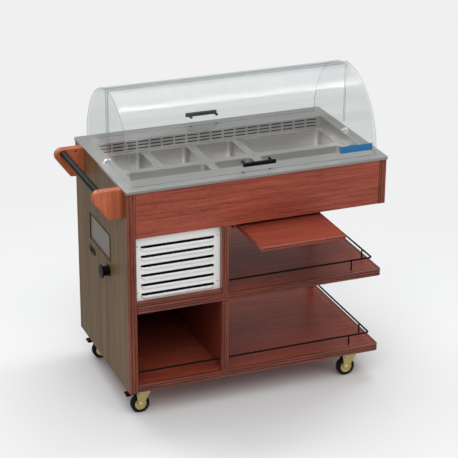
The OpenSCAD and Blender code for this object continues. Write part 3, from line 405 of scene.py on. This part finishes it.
def world():
    """Paper where the camera looks, and greys where the world lights the trolley or is mirrored."""
    studio = bpy.data.worlds.new("studio")
    scene.world = studio
    n = Nodes(studio)
    light = n.add("ShaderNodeLightPath")
    lit = n.mix(light.outputs["Is Glossy Ray"], (0.30, 0.30, 0.30, 1), (0.40, 0.40, 0.40, 1))
    n.link(n.mix(n.seen(light), lit, PAPER), n.tree.nodes["Background"], "Color")


def camera():
    """The photograph's camera, fitted to the cabinet's edges."""
    photo_width, focal_pixels = 458, 1688
    data = bpy.data.cameras.new("camera")
    data.sensor_width = 36
    data.lens = focal_pixels / photo_width * data.sensor_width
    data.shift_x = 0.0496
    obj = bpy.data.objects.new("camera", data)
    scene.collection.objects.link(obj)
    yaw, pitch = math.radians(20.97), math.radians(22.75)
    obj.location = (-1.8927, -4.7663, 2.6994)
    obj.rotation_euler = (math.pi / 2 - pitch, 0, -yaw)
    scene.camera = obj


def lamp(name, place, aim, size, watts):
    data = bpy.data.lights.new(name, "AREA")
    data.shape = "RECTANGLE"
    data.size, data.size_y = size
    data.energy = watts
    obj = bpy.data.objects.new(name, data)
    scene.collection.objects.link(obj)
    obj.location = place
    obj.rotation_euler = (Vector(aim) - Vector(place)).to_track_quat("-Z", "Y").to_euler()


floor()
world()
camera()
lamp("key", (-1.1, -2.7, 3.8), (0, 0, 0.5), (4.4, 3.4), 134)
lamp("fill", (2.6, -2.8, 1.6), (0, 0, 0.5), (2.6, 2.2), 24)
lamp("top", (0.2, 1.1, 3.6), (0, 0.05, 0.8), (4.6, 3.2), 76)
# Gives the dome its bright band
lamp("strip", (1.05, 0.42, 3.58), (1.05, 0.42, 0.8), (1.9, 0.5), 20)
lamp("back", (-1.5, 3.0, 2.4), (0, 0, 0.7), (2.4, 1.6), 24)


# Small pieces that the CAD model leaves to the scene

def piece(name, build, look, body):
    """Make an object from a bmesh that build fills, and let it ride on a body."""
    bm = bmesh.new()
    build(bm)
    mesh = bpy.data.meshes.new(name)
    bm.to_mesh(mesh)
    bm.free()
    mesh.materials.append(look)
    obj = bpy.data.objects.new(name, mesh)
    scene.collection.objects.link(obj)
    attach(obj, body)


def circle(radius, steps):
    """Points of a circle about the z axis."""
    angles = (2 * math.pi * i / steps for i in range(steps))
    return [Vector((radius * math.cos(a), radius * math.sin(a), 0)) for a in angles]


def revolve(bm, centre, axis, profile, steps):
    """Spin (radius, height) pairs about an axis. The height runs along the axis."""
    turn = Vector((0, 0, 1)).rotation_difference(Vector(axis)).to_matrix().to_4x4()
    place = Matrix.Translation(centre) @ turn
    rings = []
    for radius, height in profile:
        points = circle(radius, steps) if radius else [Vector((0, 0, 0))]
        rings.append([bm.verts.new(place @ (point + Vector((0, 0, height)))) for point in points])
    for low, high in zip(rings, rings[1:]):
        for i in range(steps):
            j = (i + 1) % steps
            if len(low) == 1:
                bm.faces.new((low[0], high[j], high[i]))
            elif len(high) == 1:
                bm.faces.new((low[i], low[j], high[0]))
            else:
                bm.faces.new((low[i], low[j], high[j], high[i]))
    for face in bm.faces:
        face.smooth = True


def screw_head(bm, centre, axis, radius):
    """Plain domed head on a short rim."""
    height = radius * 0.5
    rim = height * 0.35
    profile = [(0, 0), (radius, 0), (radius, rim)]
    for a in (math.radians(degrees) for degrees in (20, 40, 60, 78)):
        profile.append((radius * math.cos(a), rim + (height - rim) * math.sin(a)))
    revolve(bm, centre, axis, profile + [(0, height)], 20)


def tube(bm, points, radius, steps=8):
    """Closed tube along a list of points."""
    rings = []
    for i, point in enumerate(points):
        ahead = (points[min(i + 1, len(points) - 1)] - points[max(i - 1, 0)]).normalized()
        turn = Vector((0, 0, 1)).rotation_difference(ahead).to_matrix()
        rings.append([bm.verts.new(point + turn @ spot) for spot in circle(radius, steps)])
    for low, high in zip(rings, rings[1:]):
        # Start each ring at the vertex that keeps the tube from twisting
        offset = min(range(steps), key=lambda k: sum((low[j].co - high[(j + k) % steps].co).length
                                                     for j in range(steps)))
        high[:] = high[offset:] + high[:offset]
        for j in range(steps):
            k = (j + 1) % steps
            bm.faces.new((low[j], low[k], high[k], high[j])).smooth = True
    bm.faces.new(rings[0])
    bm.faces.new(rings[-1])


def plate_shade_strip():
    """Dark strip round the control plate, with a chamfered outer edge: painted shade, standing in for the
    shade in the recess round the plate.
    """
    low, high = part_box("control_plate")
    gap, wide, proud, chamfer = 0.0004, 0.0032, 0.0016, 0.0008
    # Pairs of the distance from the plate's edge and the height above the side panel
    section = [(wide, 0), (wide, proud - chamfer), (wide - chamfer, proud), (gap, proud), (gap, 0)]
    corners = [(low.y, low.z, -1, -1), (high.y, low.z, 1, -1), (high.y, high.z, 1, 1), (low.y, high.z, -1, 1)]

    def build(bm):
        rings = []
        for y, z, side_y, side_z in corners:
            rings.append([bm.verts.new((ORIGIN.x - out, y + side_y * reach, z + side_z * reach))
                          for reach, out in section])
        for i in range(4):
            a, b = rings[i], rings[(i + 1) % 4]
            for j in range(len(section)):
                k = (j + 1) % len(section)
                bm.faces.new((a[j], b[j], b[k], a[k]))
        bmesh.ops.recalc_face_normals(bm, faces=bm.faces)

    piece("control_plate_shade_strip", build, black_moulded, "trolley")


def screws():
    """Small domed screw heads on the control plate and the louvred grille."""
    low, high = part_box("control_plate")
    inset, lift = 0.007, 0.0001

    def plate(bm):
        for y in (low.y + inset, high.y - inset):
            for z in (low.z + inset, high.z - inset):
                screw_head(bm, Vector((low.x + lift, y, z)), (-1, 0, 0), 0.0022)

    def grille(bm):
        face = 22
        for x in (39, 309):
            for z in (446, 606):
                screw_head(bm, at(x, face, z), (0, -1, 0), 0.0026)

    piece("plate_screws", plate, chrome, "trolley")
    piece("grille_screws", grille, chrome, "trolley")


def dome_edges():
    """Fine lines along the sawn edges of the two shells, in a painted blue-grey that stands in for the light
    the edges catch and bend.
    """
    line = 0.0008
    sink = line / 2
    steps = 48
    # The seam's line starts above the pins, and the long lines end short of the corners
    pin_height, corner_gap = 0.030, 0.003
    axis = PIVOT + ORIGIN
    for side, name, radius in ((-1, "front", DOME_R), (1, "rear", REAR_R)):
        low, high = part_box("dome_" + name + "_shell")
        inner = radius - sink
        bottom = low.z - axis.z
        seam = -side * SEAM_LAP
        foot = math.sqrt(inner ** 2 - bottom ** 2)
        crown = math.sqrt(inner ** 2 - seam ** 2)
        start = math.atan2(bottom, -foot) % (2 * math.pi)
        end = math.atan2(crown, -side * seam)

        def build(bm):
            for x in (low.x + sink, high.x - sink):
                arc = []
                for i in range(steps + 1):
                    a = start + (end - start) * i / steps
                    arc.append(Vector((x, axis.y - side * inner * math.cos(a), axis.z + inner * math.sin(a))))
                tube(bm, arc, line)
                y = axis.y + seam + side * sink
                tube(bm, [Vector((x, y, axis.z + z)) for z in (pin_height, inner * 0.99)], line)
            for y, z in ((seam + side * sink, crown), (side * foot, bottom + sink)):
                tube(bm, [Vector((x, axis.y + y, axis.z + z))
                          for x in (low.x + corner_gap, high.x - corner_gap)], line)
            bmesh.ops.recalc_face_normals(bm, faces=bm.faces)

        piece("dome_edges_" + name, build, acrylic_edge, "dome_" + name)


def dome_plate():
    """Plain blue plate, bent to the front shell's curve."""
    # Millimetres from the cabinet's left face, and above the dome's axis
    left, right, low, high = 736, 850, 12, 34
    inner, outer = DOME_R + 0.0001, DOME_R + 0.0011
    cols, rows = 16, 5

    def build(bm):
        grid = {}
        for side, radius in enumerate((inner, outer)):
            for i in range(cols + 1):
                for j in range(rows + 1):
                    x = (left + (right - left) * i / cols) / 1000
                    z = (low + (high - low) * j / rows) / 1000
                    y = -math.sqrt(radius * radius - z * z)
                    grid[side, i, j] = bm.verts.new(Vector((x, PIVOT.y + y, PIVOT.z + z)) + ORIGIN)

        def quad(*corners):
            bm.faces.new([grid[corner] for corner in corners])

        for i in range(cols):
            for j in range(rows):
                quad((1, i, j), (1, i + 1, j), (1, i + 1, j + 1), (1, i, j + 1))
                quad((0, i, j), (0, i, j + 1), (0, i + 1, j + 1), (0, i + 1, j))
        for i in range(cols):
            quad((0, i, 0), (0, i + 1, 0), (1, i + 1, 0), (1, i, 0))
            quad((0, i + 1, rows), (0, i, rows), (1, i, rows), (1, i + 1, rows))
        for j in range(rows):
            quad((0, 0, j + 1), (0, 0, j), (1, 0, j), (1, 0, j + 1))
            quad((0, cols, j), (0, cols, j + 1), (1, cols, j + 1), (1, cols, j))

    blue = coated("blue_plate", srgb(2, 98, 152), rough=0.4, grain=200, depth=0.00001, vary=0.95)
    piece("dome_plate", build, blue, "dome_front")


plate_shade_strip()
screws()
dome_edges()
dome_plate()
